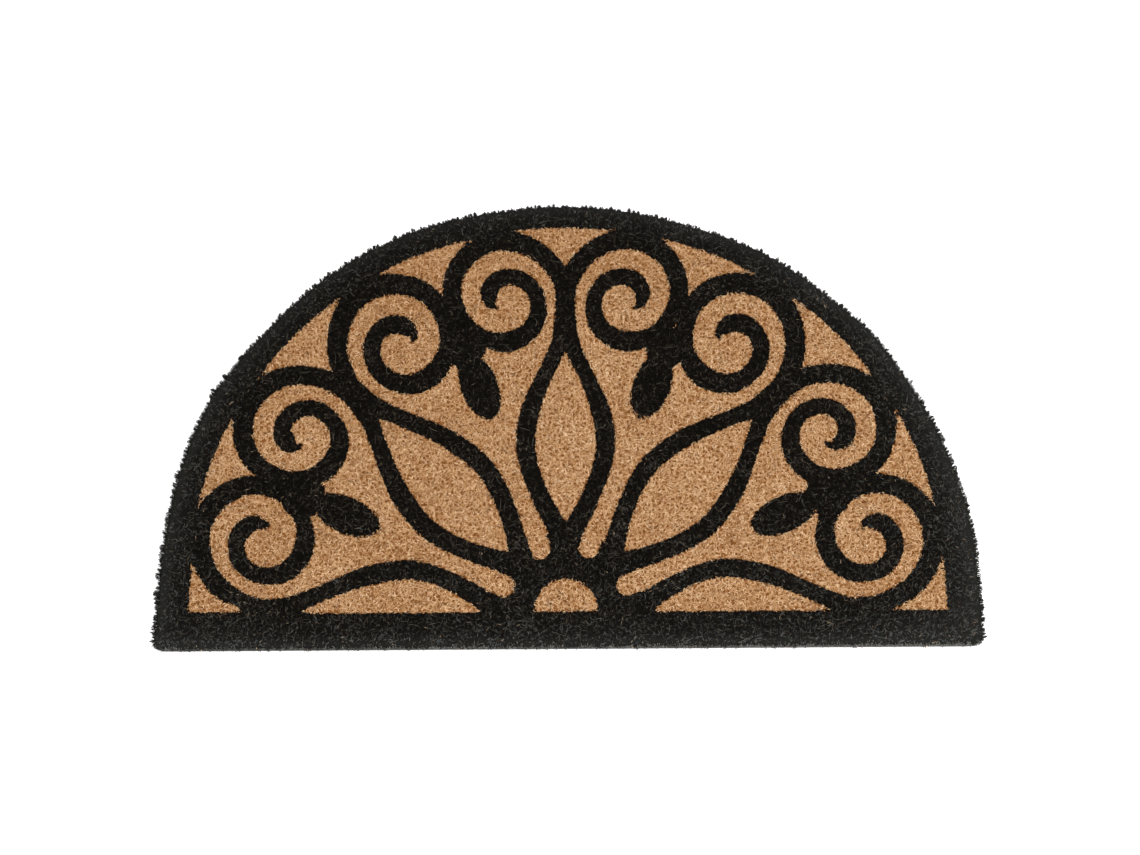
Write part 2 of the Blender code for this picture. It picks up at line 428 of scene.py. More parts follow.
def groupWith(name, inputs, outputs):
    # an empty node group with named sockets, what comes into it, and what it puts out
    group = bpy.data.node_groups.new(name, "ShaderNodeTree")
    kinds = dict(vector="NodeSocketVector", color="NodeSocketColor", value="NodeSocketFloat")
    for way, sockets in (("INPUT", inputs), ("OUTPUT", outputs)):
        for label, kind in sockets:
            group.interface.new_socket(label, in_out=way, socket_type=kinds[kind])
    return group, group.nodes.new("NodeGroupInput").outputs, group.nodes.new("NodeGroupOutput").inputs


def mathNode(tree, operation, a, b, clamp=False):
    # one sum of two values, each a number or a socket
    node = tree.nodes.new("ShaderNodeMath")
    node.operation = operation
    node.use_clamp = clamp
    for socket, value in zip(node.inputs, (a, b)):
        if isinstance(value, (int, float)):
            socket.default_value = value
        else:
            tree.links.new(value, socket)
    return node.outputs[0]


def mixNode(tree, share, a, b):
    # two colours mixed by a share: each is a socket, or three numbers from 0 to 255
    node = tree.nodes.new("ShaderNodeMix")
    node.data_type = "RGBA"
    for socket, value in zip((node.inputs[0], node.inputs[6], node.inputs[7]), (share, a, b)):
        if isinstance(value, tuple):
            socket.default_value = linear(*value)
        else:
            tree.links.new(value, socket)
    return node.outputs[2]


def makeFibreTone():
    # a fibre's colour runs from dark over middle to light with its tint (u), and turns to the root's colour towards
    # its foot (v): painted shade deep in the pile, and on the front face painted light with thinner dye
    colours = [(label, "color") for label in ("Dark", "Middle", "Light", "Root")]
    group, given, result = groupWith(
        "fibreTone", [("Place", "vector")] + colours + [("Root Share", "value")], [("Color", "color")])
    split = group.nodes.new("ShaderNodeSeparateXYZ")
    group.links.new(given["Place"], split.inputs[0])
    twice = mathNode(group, "MULTIPLY", split.outputs["X"], 2)
    lower = mixNode(group, mathNode(group, "ADD", twice, 0, True), given["Dark"], given["Middle"])
    upper = mixNode(group, mathNode(group, "SUBTRACT", twice, 1, True), lower, given["Light"])
    # painted shade: the root colour's share grows towards the fibre's foot
    fall = mathNode(group, "POWER", mathNode(group, "SUBTRACT", 1, split.outputs["Y"], True), rootShadingFade)
    share = mathNode(group, "MULTIPLY", fall, given["Root Share"])
    group.links.new(mixNode(group, share, upper, given["Root"]), result["Color"])
    return group


def makeGrain():
    # two sizes of noise, added: a mask from 0 to 1 that mottles a colour, and a height for bumps
    group, given, result = groupWith(
        "grain", [("Place", "vector"), ("Scale", "value"), ("Contrast", "value")],
        [("Mask", "value"), ("Height", "value")])
    parts = []
    for scale, detail, share in grainSizes:
        noise = group.nodes.new("ShaderNodeTexNoise")
        noise.inputs["Detail"].default_value = detail
        group.links.new(given["Place"], noise.inputs["Vector"])
        group.links.new(mathNode(group, "MULTIPLY", given["Scale"], scale), noise.inputs["Scale"])
        parts.append(mathNode(group, "MULTIPLY", noise.outputs[0], share))
    both = mathNode(group, "ADD", *parts)
    spread = mathNode(group, "MULTIPLY", mathNode(group, "SUBTRACT", both, 0.5), given["Contrast"])
    group.links.new(mathNode(group, "ADD", spread, 0.5, True), result["Mask"])
    group.links.new(both, result["Height"])
    return group


def placeGroup(tree, group, vector, **values):
    # a group in a material; an underscore in a value's name stands for a space
    node = tree.nodes.new("ShaderNodeGroup")
    node.node_tree = group
    tree.links.new(vector, node.inputs["Place"])
    for label, value in values.items():
        node.inputs[label.replace("_", " ")].default_value = value
    return node


def grainyMaterial(name, finish):
    # a material with bumps from the grain's height, and the mask that mottles it
    material, tree, shader = newMaterial(name, finish["roughness"], finish["specular"])
    place = tree.nodes.new("ShaderNodeTexCoord").outputs["Object"]
    mottle = placeGroup(tree, grainGroup, place, Scale=finish["grain"], Contrast=finish["contrast"])
    bump = tree.nodes.new("ShaderNodeBump")
    bump.inputs["Distance"].default_value = finish["bump"]
    tree.links.new(mottle.outputs["Height"], bump.inputs["Height"])
    tree.links.new(bump.outputs["Normal"], shader.inputs["Normal"])
    return material, tree, shader, mottle.outputs["Mask"]


def fibreMaterial(name, tones):
    # fibres of one kind, coloured by their place on the OFBake map
    material, tree, shader = newMaterial(name, tones["roughness"], tones["specular"])
    place = tree.nodes.new("ShaderNodeUVMap")
    place.uv_map = "OFBake"
    colours = {label: linear(*tones[label.lower()]) for label in ("Dark", "Middle", "Light", "Root")}
    tone = placeGroup(tree, fibreTone, place.outputs[0], Root_Share=tones["rootShadingShare"], **colours)
    tree.links.new(tone.outputs["Color"], shader.inputs["Base Color"])
    return material


def bedMaterial():
    # the bed under the fibres, darker than they are as painted shade in the pits and gaps: plain or dyed by the depth
    # stored on its points, with a little noise at the boundary, and greyer where the share of wear and painted light
    # is higher
    material, tree, shader, mask = grainyMaterial("coirBed", bedFinish)
    dye, worn = tree.nodes.new("ShaderNodeAttribute"), tree.nodes.new("ShaderNodeAttribute")
    dye.attribute_name, worn.attribute_name = "dye", "worn"
    shift = mathNode(tree, "MULTIPLY", mathNode(tree, "SUBTRACT", mask, 0.5), bedFinish["ragged"])
    ragged = mathNode(tree, "ADD", dye.outputs["Fac"], shift)
    dyed = mathNode(tree, "ADD", mathNode(tree, "MULTIPLY", ragged, bedFinish["crisp"]), 0.5, True)
    # painted shade: the bed's dark colours, mottled by the grain
    plainColour = mixNode(tree, mask, coirTones["bedShadeDark"], coirTones["bedShadeLight"])
    dyedColour = mixNode(tree, mask, dyedTones["bedShadeDark"], dyedTones["bedShadeLight"])
    dyedColour = mixNode(tree, worn.outputs["Fac"], dyedColour, dyedTones["bedWorn"])
    tree.links.new(mixNode(tree, dyed, plainColour, dyedColour), shader.inputs["Base Color"])
    return material


def vinylMaterial():
    # black vinyl with a fine pebble and a faint mottle
    material, tree, shader, mask = grainyMaterial("blackVinyl", vinyl)
    tree.links.new(mixNode(tree, mask, vinyl["dark"], vinyl["light"]), shader.inputs["Base Color"])
    spread = mathNode(tree, "MULTIPLY", mask, vinyl["roughnessSpread"])
    rough = mathNode(tree, "ADD", spread, vinyl["roughness"] - vinyl["roughnessSpread"] / 2)
    tree.links.new(rough, shader.inputs["Roughness"])
    return material


fibreTone = makeFibreTone()
grainGroup = makeGrain()
fibreKinds = dict(coir=coirTones, dyed=dyedTones, worn=wornTones, brown=brownTones, rim=rimTones, front=frontTones,
                  stray=strayTones)
fibreOf = {kind: fibreMaterial(kind + "Fibre", tones) for kind, tones in fibreKinds.items()}
coirBed = bedMaterial()
blackVinyl = vinylMaterial()
print("materials ready")


# Meshes

tintEnds = (0.03, 0.97)  # a fibre's tint stays between these, 0 the darkest and 1 the lightest
tintHalf = 0.004  # half the width that a fibre takes on the map


def newPiece(name, points, faces, material, uv=None, smooth=True):
    # a mesh of triangles, with an optional place on the OFBake map for each corner's point
    mesh = bpy.data.meshes.new(name)
    mesh.vertices.add(len(points))
    mesh.vertices.foreach_set("co", np.asarray(points, np.float32).ravel())
    mesh.loops.add(faces.size)
    mesh.loops.foreach_set("vertex_index", faces.astype(np.int32).ravel())
    mesh.polygons.add(len(faces))
    mesh.polygons.foreach_set("loop_start", np.arange(0, faces.size, 3, dtype=np.int32))
    mesh.update(calc_edges=True)
    if uv is not None:
        layer = mesh.uv_layers.new(name="OFBake")
        layer.data.foreach_set("uv", uv[faces.ravel()].astype(np.float32).ravel())
    if smooth:
        mesh.shade_smooth()
    mesh.materials.append(material)
    piece = addObject(name, mesh)
    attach(piece, "root")
    return piece


def ringFaces(rings, count):
    # two triangles for each cell between neighbouring rings, which run anticlockwise and from the bottom up
    ring, place = np.meshgrid(np.arange(rings - 1), np.arange(count), indexing="ij")
    low = ring * count + place
    after = ring * count + (place + 1) % count
    cells = np.stack((low, after, after + count, low, after + count, low + count), -1)
    return cells.reshape(-1, 3)


def closedSlab(rings):
    # rings of points from the underside's middle to the top's middle, with a fan of triangles closing each end
    rings = np.asarray(rings)
    levels, count, _ = rings.shape
    points = np.vstack((rings.reshape(-1, 3), rings[0].mean(0), rings[-1].mean(0)))
    place = np.arange(count)
    after = (place + 1) % count
    bottom = np.column_stack((np.full(count, levels * count), after, place))
    last = (levels - 1) * count
    top = np.column_stack((np.full(count, levels * count + 1), place + last, after + last))
    return points, np.vstack((bottom, ringFaces(levels, count), top))


# share of worn fibres, by how many millimetres inside the cut they stand
wornShare = [
    (0, 1), (4.5, 0.97), (8, 0.78), (13, 0.58), (19, 0.5), (25, 0.43), (31, 0.22), (52, 0.16), (75, 0.08), (100, 0),
]
# the gains on the right, on the near side and in the right front corner are painted light from the front right
wearAndLightShifts = dict(
    right=0.1, near=0.1,  # what the share gains at the right end and the near side,
    corner=0.3, rightCorner=0.12,  # in both front corners and in the right one,
    front=0.06,  # and what it loses along the rest of the front
    frontFade=0.02, nearDepth=0.15, most=1.3,
)


def wearAndLight(x, y):
    # the wear of the table above, plus more or less by the place on the mat, partly painted light
    right = x / mat["halfWidth"]
    front = unit(2.5 - (y - mat["frontY"]) / wearAndLightShifts["frontFade"])
    corner = front * unit(np.abs(right) * 3 - 2)
    near = (1 - front) * np.clip(-y / wearAndLightShifts["nearDepth"], -1, 1)
    share = np.interp(insideCut(x, y)[0] / mm, *np.array(wornShare).T)
    share += wearAndLightShifts["right"] * right + wearAndLightShifts["near"] * near - wearAndLightShifts["front"] * (front - corner)
    return np.clip(share + corner * (wearAndLightShifts["corner"] + wearAndLightShifts["rightCorner"] * right), 0, wearAndLightShifts["most"])


backingShape = dict(
    points=460,
    # height, distance in from the cut
    rows=[(0, 0.0006), (0.0002, 0.0001), (0.001, 0), (0.0018, 0.0001), (0.002, 0.0006)],
    inner=[0.99, 0.9, 0.6, 0.25],  # each ring inside is this share of the one before it
)


def makeBacking():
    # the vinyl sheet: the cut outline carried up a small rounded profile
    edge, normals = cutEdge(backingShape["points"])
    rings = []
    for height, back in backingShape["rows"]:
        rings.append(np.column_stack((edge - normals * back, np.full(len(edge), height))))
    for share in backingShape["inner"]:
        rings.insert(0, rings[0] * (share, share, 1))
        rings.append(rings[-1] * (share, share, 1))
    points, faces = closedSlab(rings)
    piece = newPiece("vinylBacking", points, faces, blackVinyl, smooth=False)
    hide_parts("backing")
    return piece


bedShape = dict(
    points=640, rings=74, centre=(0, -0.03),
    # height, how far out, share of the tuft depth
    rows=[
        (0.0023, -0.001, 0.2), (0.006, 0.0002, 0.5), (0.01, 0.0018, 0.8), (0.0128, 0.0028, 1),
        (0.0143, 0.0008, 1), (0.0146, -0.004, 0.5),
    ],
    below=0.0014,  # the bed's top lies this much under the fibres' tips
    lump=0.00035, lumpWaves=(31, 0.007, 0.02),  # seed, shortest and longest wave
    dyeRange=(-6, 6),  # the dye's depth is stored between these, in mm
)


def makeBed():
    # the slab that the fibres stand in: tufted rows up the rim, then rings that shrink to the middle of the top
    count = bedShape["points"]
    edge, normals = cutEdge(count)
    fall = tuftFall(np.arange(count) / count)
    rings = []
    for height, out, share in bedShape["rows"]:
        ring = edge + normals * (out - share * fall)[:, None]
        rings.append(np.column_stack((ring, np.full(count, height))))
    centre = np.array(bedShape["centre"])
    last = rings[-1][:, :2]
    for share in np.linspace(1, 0, bedShape["rings"] + 1)[1:-1]:
        ring = centre + (last - centre) * share
        lumps = bedShape["lump"] * ripple(*ring.T, *bedShape["lumpWaves"])
        rings.append(np.column_stack((ring, topHeight(*ring.T) - bedShape["below"] + lumps)))
    points, faces = closedSlab(rings)
    piece = newPiece("coirBed", points, faces, coirBed)
    x, y = points.T[:2]
    dye = np.clip(dyeDepth(x, y), *bedShape["dyeRange"])
    for name, values in (("dye", dye), ("worn", wearAndLight(x, y) ** 2)):
        piece.data.attributes.new(name, "FLOAT", "POINT").data.foreach_set("value", values.astype(np.float32))
    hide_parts("pile")
    return piece


def fibres(name, root, tip, bow, width, waist, tint, kind, closed):
    # each fibre runs from its root through a three-cornered waist to its tip: six faces, or four where its
    # underside is left open against the bed
    count = len(root)
    along = tip - root
    along /= np.linalg.norm(along, axis=1)[:, None]
    side = np.cross(along, (0, 0, 1))
    side /= np.maximum(np.linalg.norm(side, axis=1), 1e-9)[:, None]
    up = np.cross(side, along)
    middle = root + (tip - root) * waist[:, None] + bow
    half = width[:, None] / 2
    points = np.stack((root, middle - side * half - up * half * 0.6, middle + side * half - up * half * 0.6,
                       middle + up * half, tip), 1).reshape(-1, 3)
    cells = [(0, 2, 3), (0, 3, 1), (4, 3, 2), (4, 1, 3)] + ([(0, 1, 2), (4, 2, 1)] if closed else [])
    faces = (np.arange(count)[:, None, None] * 5 + np.array(cells)).reshape(-1, 3)
    u = np.clip(tint, *tintEnds)
    uv = np.stack((u, u - tintHalf, u + tintHalf, u, u), 1).reshape(-1)
    v = np.stack((np.zeros(count), waist, waist, waist, np.ones(count)), 1).reshape(-1)
    return newPiece(name, points, faces, fibreOf[kind], np.column_stack((uv, v)))


def fibrePieces(made, tint, closed, parts):
    # one piece for each part: its name, the kind of its fibres, and which fibres are in it
    shape = [made[key] for key in ("root", "tip", "bow", "width", "waist")] + [tint]
    return [fibres(name, *(a[part] for a in shape), kind, closed) for name, kind, part in parts]


# the fibres of the top; lengths are in mm, and in metres from the swirl's waves on
pile = dict(
    bundle=3, spread=0.5, scatter=0.4,  # fibres in a bundle, how far apart they lie, and how unevenly
    onward=0.9, fanOut=0.22,  # how far they slide along each other, and how much they part, in radians
    tilt=(47, 79), width=(0.5, 0.86), waist=(0.52, 0.68), lengthShare=(0.85, 1.1),
    tipRise=0.3, fibreRise=0.15,  # how unevenly the bundles and the single fibres were sheared
    bend=0.1, bow=(0.1, 0.22),  # shares of a fibre's run and climb
    beyondDye=3, ragged=0.8, raggedRange=(-1.6, 1.6),  # how unevenly the dye took
    swirl=2.6, stray=0.95,  # how far the swirl and the single bundle turn a heading, in radians
    swirlWaves=(11, 0.014, 0.034),  # seed, shortest and longest wave
    lattice=(0.384, 0.232),  # the bundles' lattice reaches this far from the middle
    edge=0.0008,  # no fibre stands nearer to the cut than this
    lean=0.016, leanShare=1.4,  # the border's fibres lean out over this distance from the cut
    rimFrom=0.004, rimFall=0.22,  # and their tips fall by this slope nearer than this
    pitSeed=9, pitCells=128, pitPitch=0.0044, pitPlace=(0.18, 0.82), pitSizes=(0.0002, 0.0013),
)


def pitDistance(x, y):
    # how far a point lies outside the pit of its own cell: one pit of a random size and place in each cell
    rng = np.random.default_rng(pile["pitSeed"])
    cell, cells, (small, large) = pile["pitPitch"], pile["pitCells"], pile["pitSizes"]
    column, row = np.floor(x / cell).astype(int) % cells, np.floor(y / cell).astype(int) % cells
    place = rng.uniform(*pile["pitPlace"], (cells, cells, 2))[column, row]
    size = small + (large - small) * rng.random((cells, cells))[column, row]
    return np.hypot(x / cell % 1 - place[:, 0], y / cell % 1 - place[:, 1]) * cell - size


def pileFibres(values, wantDyed):
    # bundles on a jittered lattice, leaning along a smooth swirl, with a few near-parallel fibres in each; fibres
    # that would cross the dye's edge turn along it or lie shorter
    rng = np.random.default_rng(values["seed"])
    step = values["pitch"] * mm
    halfX, halfY = pile["lattice"]
    x, y = np.meshgrid(np.arange(-halfX, halfX, step), np.arange(-halfY, halfY, step))
    x, y = ((a + rng.uniform(-0.5, 0.5, a.shape) * step).ravel() for a in (x, y))
    depth = dyeDepth(x, y) if wantDyed else -dyeDepth(x, y)
    near = (insideCut(x, y)[0] > -mm) & (depth > -pile["beyondDye"])
    x, y = x[near], y[near]
    count = len(x)
    heading = pile["swirl"] * ripple(x, y, *pile["swirlWaves"]) + rng.normal(0, pile["stray"], count)
    tilt = rng.uniform(*pile["tilt"], count)
    length = rng.uniform(*values["length"], count)
    rise = rng.normal(0, pile["tipRise"], count) * mm
    tone = rng.normal(0, 1, count)
    # the fibres of each bundle
    many = pile["bundle"]
    x, y, heading, tilt, length, rise, tone = np.repeat((x, y, heading, tilt, length, rise, tone), many, axis=1)
    count = len(x)
    across = np.tile(np.arange(many) - (many - 1) / 2, count // many) + rng.normal(0, pile["scatter"], count)
    across = across * pile["spread"] * mm
    onward = rng.normal(0, pile["onward"], count) * mm
    x, y = (x - np.sin(heading) * across + np.cos(heading) * onward,
            y + np.cos(heading) * across + np.sin(heading) * onward)
    heading = heading + rng.normal(0, pile["fanOut"], count)
    rise = rise + rng.normal(0, pile["fibreRise"], count) * mm
    inside, outX, outY = insideCut(x, y)
    ragged = pile["ragged"] * np.clip(rng.normal(0, 1, count), *pile["raggedRange"])
    keep = (inside > pile["edge"]) & ((dyeDepth(x, y) + ragged > 0) == wantDyed)
    x, y, heading, tilt, length, rise, tone, inside, outX, outY = np.array(
        (x, y, heading, tilt, length, rise, tone, inside, outX, outY))[:, keep]
    count = len(x)
    out = unit(1 - inside / pile["lean"]) * pile["leanShare"]
    dirX, dirY = np.cos(heading) * (1 - out / 2) + outX * out, np.sin(heading) * (1 - out / 2) + outY * out
    size = np.maximum(np.hypot(dirX, dirY), 0.05)
    dirX, dirY = dirX / size, dirY / size
    tilt = np.radians(tilt)
    length = length * rng.uniform(*pile["lengthShare"], count) * mm
    run, climb = length * np.sin(tilt), length * np.cos(tilt)
    waist = rng.uniform(*pile["waist"], count)
    sign = 1 if wantDyed else -1

    def along(share):
        # the place on each fibre at a share of its run from its waist
        return x + dirX * run * share, y + dirY * run * share

    def crossing():
        # how far, in mm, the worse end lies on the wrong side of the dye's edge, or the fibre reaches into a pit
        ends = [sign * dyeDepth(*along(s)) for s in (-waist * 0.8, 1 - waist)]
        pits = [pitDistance(*along(s)) for s in (-0.5, -0.3, -0.1, 0.1, 0.3, 0.45)]
        return np.maximum(-np.minimum(*ends), 1 - np.minimum.reduce(pits) / mm * 2)

    # what crosses by more than 1 mm turns by a right angle, unless that is worse, and is then shortened
    over = crossing()
    sideways = over > 1
    dirX, dirY = np.where(sideways, -dirY, dirX), np.where(sideways, dirX, dirY)
    after = crossing()
    back = sideways & (after > over)
    dirX, dirY = np.where(back, dirY, dirX), np.where(back, -dirX, dirY)
    over = np.where(back, over, after)
    short = np.clip(1.3 - over * 0.35, 0.35, 1)
    run = run * short
    # the rim falls away outside the cut, so tips there hang a little lower
    tipX, tipY = along(1 - waist)
    beyond = unit(pile["rimFrom"] - insideCut(tipX, tipY)[0])
    tip = np.column_stack((tipX, tipY, topHeight(tipX, tipY) + rise - beyond * pile["rimFall"]))
    root = np.column_stack((*along(-waist), tip[:, 2] - climb * np.clip(short, 0.6, 1)))
    bend = rng.normal(0, pile["bend"], count) * run
    bow = np.column_stack((-dirY * bend, dirX * bend, rng.uniform(*pile["bow"], count) * climb))
    width = rng.uniform(*pile["width"], count) * mm
    made = dict(root=root, tip=tip, bow=bow, width=width, waist=waist, tone=tone, inside=inside)
    clear = np.minimum.reduce([pitDistance(*along(s)) for s in (-0.4, -0.2, 0, 0.2, 0.4)])
    return {key: value[clear > 0] for key, value in made.items()}, rng


def pileTint(values, made, rng):
    # a fibre's tint: the pile's own, a step for its bundle, one for itself, and a slow cloud over the mat
    x, y = made["root"].T[:2]
    tint = values["tint"] + values["bundleTint"] * made["tone"] + rng.normal(0, values["fibreTint"], len(x))
    return tint + values["cloud"] * ripple(x, y, *values["cloudWaves"])


plainPile = dict(
    seed=101, pitch=1.62, length=(3.5, 7.2),  # between bundles, and of a fibre, in mm
    tint=0.49, bundleTint=0.12, fibreTint=0.19, cloud=0.03, cloudWaves=(21, 0.05, 0.14),
    # the far and left terms darken the tint as painted shade away from the lamp
    farShade=0.05, farFrom=0.05, farDepth=0.12, leftShade=0.02, leftDepth=0.15,
    parting=0.125,  # the three pieces part at this distance from the middle
)


def makePlainPile():
    # the undyed fibres, a little darker at the far side and on the left: painted shade away from the lamp
    made, rng = pileFibres(plainPile, False)
    x, y = made["root"].T[:2]
    tint = pileTint(plainPile, made, rng)
    tint -= plainPile["farShade"] * unit((y - plainPile["farFrom"]) / plainPile["farDepth"])
    tint -= plainPile["leftShade"] * unit(-x / plainPile["leftDepth"])
    parting = plainPile["parting"]
    return fibrePieces(made, tint, False, [
        ("coirPileLeft", "coir", x < -parting), ("coirPileMiddle", "coir", np.abs(x) <= parting),
        ("coirPileRight", "coir", x > parting)])


dyedPile = dict(
    seed=102, pitch=2.6, length=(4, 9),
    tint=0.4, bundleTint=0.12, fibreTint=0.16, cloud=0.06, cloudWaves=(23, 0.03, 0.1),
    # the front term is painted light near the front cut, with thinner dye there; the far term is painted shade
    # towards the far side and painted light on the near side
    frontLighter=0.35, frontFade=0.008, farShade=0.04, farDepth=0.15,
    palerShare=0.05, paler=0.3,  # so many fibres are paler by this
    brown=0.012, brownWorn=0.02,  # share of brown fibres, and how much more where all is worn
    wornLighter=0.25, wornFrom=0.9,  # worn fibres are lighter where the share of wear and painted light is above this
    border=0.03,  # the border's piece is so wide
)


def makeDyedPile():
    # the dyed fibres: most are black, and some are worn or brown, ever more of them towards the edge, and more worn
    # ones where painted light raises the share
    made, rng = pileFibres(dyedPile, True)
    x, y = made["root"].T[:2]
    tint = pileTint(dyedPile, made, rng)
    # painted light near the front cut, with thinner dye, and painted shade towards the far side
    tint += dyedPile["frontLighter"] * unit(1.2 - (y - mat["frontY"]) / dyedPile["frontFade"])
    tint -= dyedPile["farShade"] * np.clip(y / dyedPile["farDepth"], -1, 1)
    tint += np.where(rng.random(len(x)) < dyedPile["palerShare"], dyedPile["paler"], 0)
    share = wearAndLight(x, y)
    worn = rng.random(len(x)) < share
    brown = rng.random(len(x)) < dyedPile["brown"] + dyedPile["brownWorn"] * share
    tint += dyedPile["wornLighter"] * worn * unit(share - dyedPile["wornFrom"])
    black, atEdge = ~worn & ~brown, made["inside"] < dyedPile["border"]
    return fibrePieces(made, tint, False, [
        ("dyedPileBorder", "dyed", atEdge & black), ("dyedPileScrolls", "dyed", ~atEdge & black),
        ("dyedPileWornAndLit", "worn", worn & ~brown), ("dyedPileBrown", "brown", brown)])


# the bristles of the outer face, lengths in mm
rimPile = dict(
    seed=55, edgePoints=4600, standing=9500, spiky=6500, width=(0.55, 0.95),
    # heights of the tips and roots, and how far past the cut the roots are
    standingTips=(6.5, 15.6), standingRoots=(2.4, 6), standingIn=(-1.6, -0.4),
    # mean and spread of the tips' heights, their limits, and how far the roots lie below and behind the tips
    spikyTips=(13.4, 1), spikyRange=(11, 15.9), spikyDrop=(2, 5), spikyIn=(3.5, 6.5), leastDrop=2.5,
    lock=4.6, lockUneven=(-0.4, 0.4), gather=0.2,  # width of a lock of bristles, and how far its tips draw together
    tipStray=0.00012,  # of the way round the mat
    round=1.1, crownRound=1,  # how far a lock's sides fall back, and how much more at the crown
    tufts=0.25, crownTufts=0.5, frontTufts=0.4,  # share of the solid tufts' fall that shows, and where more
    further=1,  # the tips reach this much past the solid rim, but for the front
    uneven=0.9, single=0.3, loose=0.5,  # from lock to lock, bristle to bristle, and more at the sides
    frontCalm=0.6, rightCalm=0.5,  # how much less uneven the rim is there
    outward=(0.25, 0.35), sway=0.25,  # a bristle's bow
    pointed=0.45, pointedWaist=(0.4, 0.6), bluntWaist=(0.7, 0.88),  # share of pointed bristles
    tint=0.35, lockTint=0.07, fibreTint=0.15, palerShare=0.05, paler=0.2,
    rightLighter=0.05, frontLighter=0.12, footLighter=0.28, rightFoot=0.14,  # added to the tint there: painted light from the front right, and down the front face thinner dye as well
    paleEnds=0.006, paleTint=0.97, paleFrom=9,  # share of the front's bristles with a pale cut end
)


def makeRimPile():
    # bristles that stand up the outer face and splay with the rim's profile, and shorter ones that spike its top;
    # they stand in locks with blunt ends, which fall back at their sides
    rng = np.random.default_rng(rimPile["seed"])
    count = rimPile["standing"] + rimPile["spiky"]
    spiky = np.arange(count) >= rimPile["standing"]
    steps = rimPile["edgePoints"]
    edge, normals = cutEdge(steps)
    locks = round(edgeLength() / mm / rimPile["lock"])
    ends = (np.arange(locks + 1) + rng.uniform(*rimPile["lockUneven"], locks + 1)) / locks
    rootPlace = rng.uniform(ends[0], ends[-1], count)
    lock = np.clip(np.searchsorted(ends, rootPlace) - 1, 0, locks - 1)
    off = (rootPlace - ends[lock]) / (ends[lock + 1] - ends[lock]) * 2 - 1
    centre = (ends[lock] + ends[lock + 1]) / 2
    tipPlace = rootPlace + (centre - rootPlace) * rimPile["gather"] + rng.normal(0, rimPile["tipStray"], count)
    # where each bristle stands
    at = (rootPlace * steps).astype(int) % steps
    ahead = unit(-normals[at, 1]) ** 2
    nearRight = unit(normals[at, 0]) ** 2 * unit(0.5 - edge[at, 1] / 0.1)
    crown = unit(normals[at, 1] * 2 - 0.8)
    beside = unit(1 - crown - ahead)
    # heights of tips and roots
    spikyTip = np.clip(rng.normal(*rimPile["spikyTips"], count), *rimPile["spikyRange"])
    tipHeight = np.where(spiky, spikyTip, rng.uniform(*rimPile["standingTips"], count)) * mm
    spikyRoot = tipHeight - rng.uniform(*rimPile["spikyDrop"], count) * mm
    rootHeight = np.where(spiky, spikyRoot, rng.uniform(*rimPile["standingRoots"], count) * mm)
    rootHeight = np.minimum(rootHeight, tipHeight - rimPile["leastDrop"] * mm)
    # how far they reach past the cut: the rim's profile less the fall of tufts and locks, and unevenness high up
    calm = 1 - rimPile["frontCalm"] * ahead - rimPile["rightCalm"] * nearRight
    fall = tuftFall(tipPlace % 1)
    fall = fall * (rimPile["tufts"] + rimPile["crownTufts"] * crown + rimPile["frontTufts"] * ahead)
    fall += (rimPile["round"] + rimPile["crownRound"] * crown) * mm * calm * np.abs(off) ** 3
    heights, reaches, shares = np.array(rim["rows"]).T
    reach = np.interp(tipHeight, heights, reaches) - np.interp(tipHeight, heights, shares) * fall
    uneven = rng.normal(0, rimPile["uneven"], locks)[lock]
    uneven = uneven + rng.normal(0, 1, count) * (rimPile["single"] + rimPile["loose"] * beside)
    high = unit((tipHeight - 0.006) / 0.006)
    reach += (rimPile["further"] * (1 - ahead) + uneven * calm) * mm * high
    spikyReach = reach - rng.uniform(*rimPile["spikyIn"], count) * mm
    rootReach = np.where(spiky, spikyReach, rng.uniform(*rimPile["standingIn"], count) * mm)

    def onEdge(place, out, height):
        # points at a place from 0 to 1 round the edge, moved out and up
        at = (place % 1 * steps).astype(int) % steps
        return np.column_stack((edge[at] + normals[at] * out[:, None], height))

    root = onEdge(rootPlace, rootReach, rootHeight)
    tip = onEdge(tipPlace, reach, tipHeight)
    outward = normals[at] * rng.normal(*rimPile["outward"], count)[:, None] * mm
    bow = np.column_stack((outward + rng.normal(0, rimPile["sway"], (count, 2)) * mm, np.zeros(count)))
    # the bristles are lighter towards the right as painted light; down the front face they grow paler, most on the
    # right, from thinner dye and painted light on the shaded face
    right = edge[at, 0] / mat["halfWidth"]
    down = unit((0.0162 - tipHeight) / 0.0045)
    tint = rimPile["tint"] + rimPile["lockTint"] * rng.normal(0, 1, locks)[lock]
    tint += rng.normal(0, rimPile["fibreTint"], count)
    tint += np.where(rng.random(count) < rimPile["palerShare"], rimPile["paler"], 0) + rimPile["rightLighter"] * right
    tint += ahead * (rimPile["frontLighter"] + down * (rimPile["footLighter"] + rimPile["rightFoot"] * right))
    width = rng.uniform(*rimPile["width"], count) * mm
    waist = np.where(rng.random(count) < rimPile["pointed"], rng.uniform(*rimPile["pointedWaist"], count),
                     rng.uniform(*rimPile["bluntWaist"], count))
    # along the front a few bristles show a pale cut end
    pale = (rng.random(count) < rimPile["paleEnds"] * ahead) & (tipHeight > rimPile["paleFrom"] * mm)
    tint = np.where(pale, rimPile["paleTint"], tint)
    facing = (ahead > 0.5) & ~pale
    made = dict(root=root, tip=tip, bow=bow, width=width, waist=waist)
    return fibrePieces(made, tint, True, [
        ("dyedPileRim", "rim", ~facing & ~pale), ("dyedPileFront", "front", facing), ("paleEnds", "coir", pale)])


strays = dict(
    seed=77, count=1250, steps=7,
    length=(5, 14), width=(0.22, 0.36),  # in mm
    curl=75,  # degrees over a fibre's length
    arch=(0.2, 1), clear=0.1,  # how high the fibre arches over the top, in mm
    edge=0.005,  # none lies nearer to the cut than this
    tint=0.4, tintSpread=0.2,
)


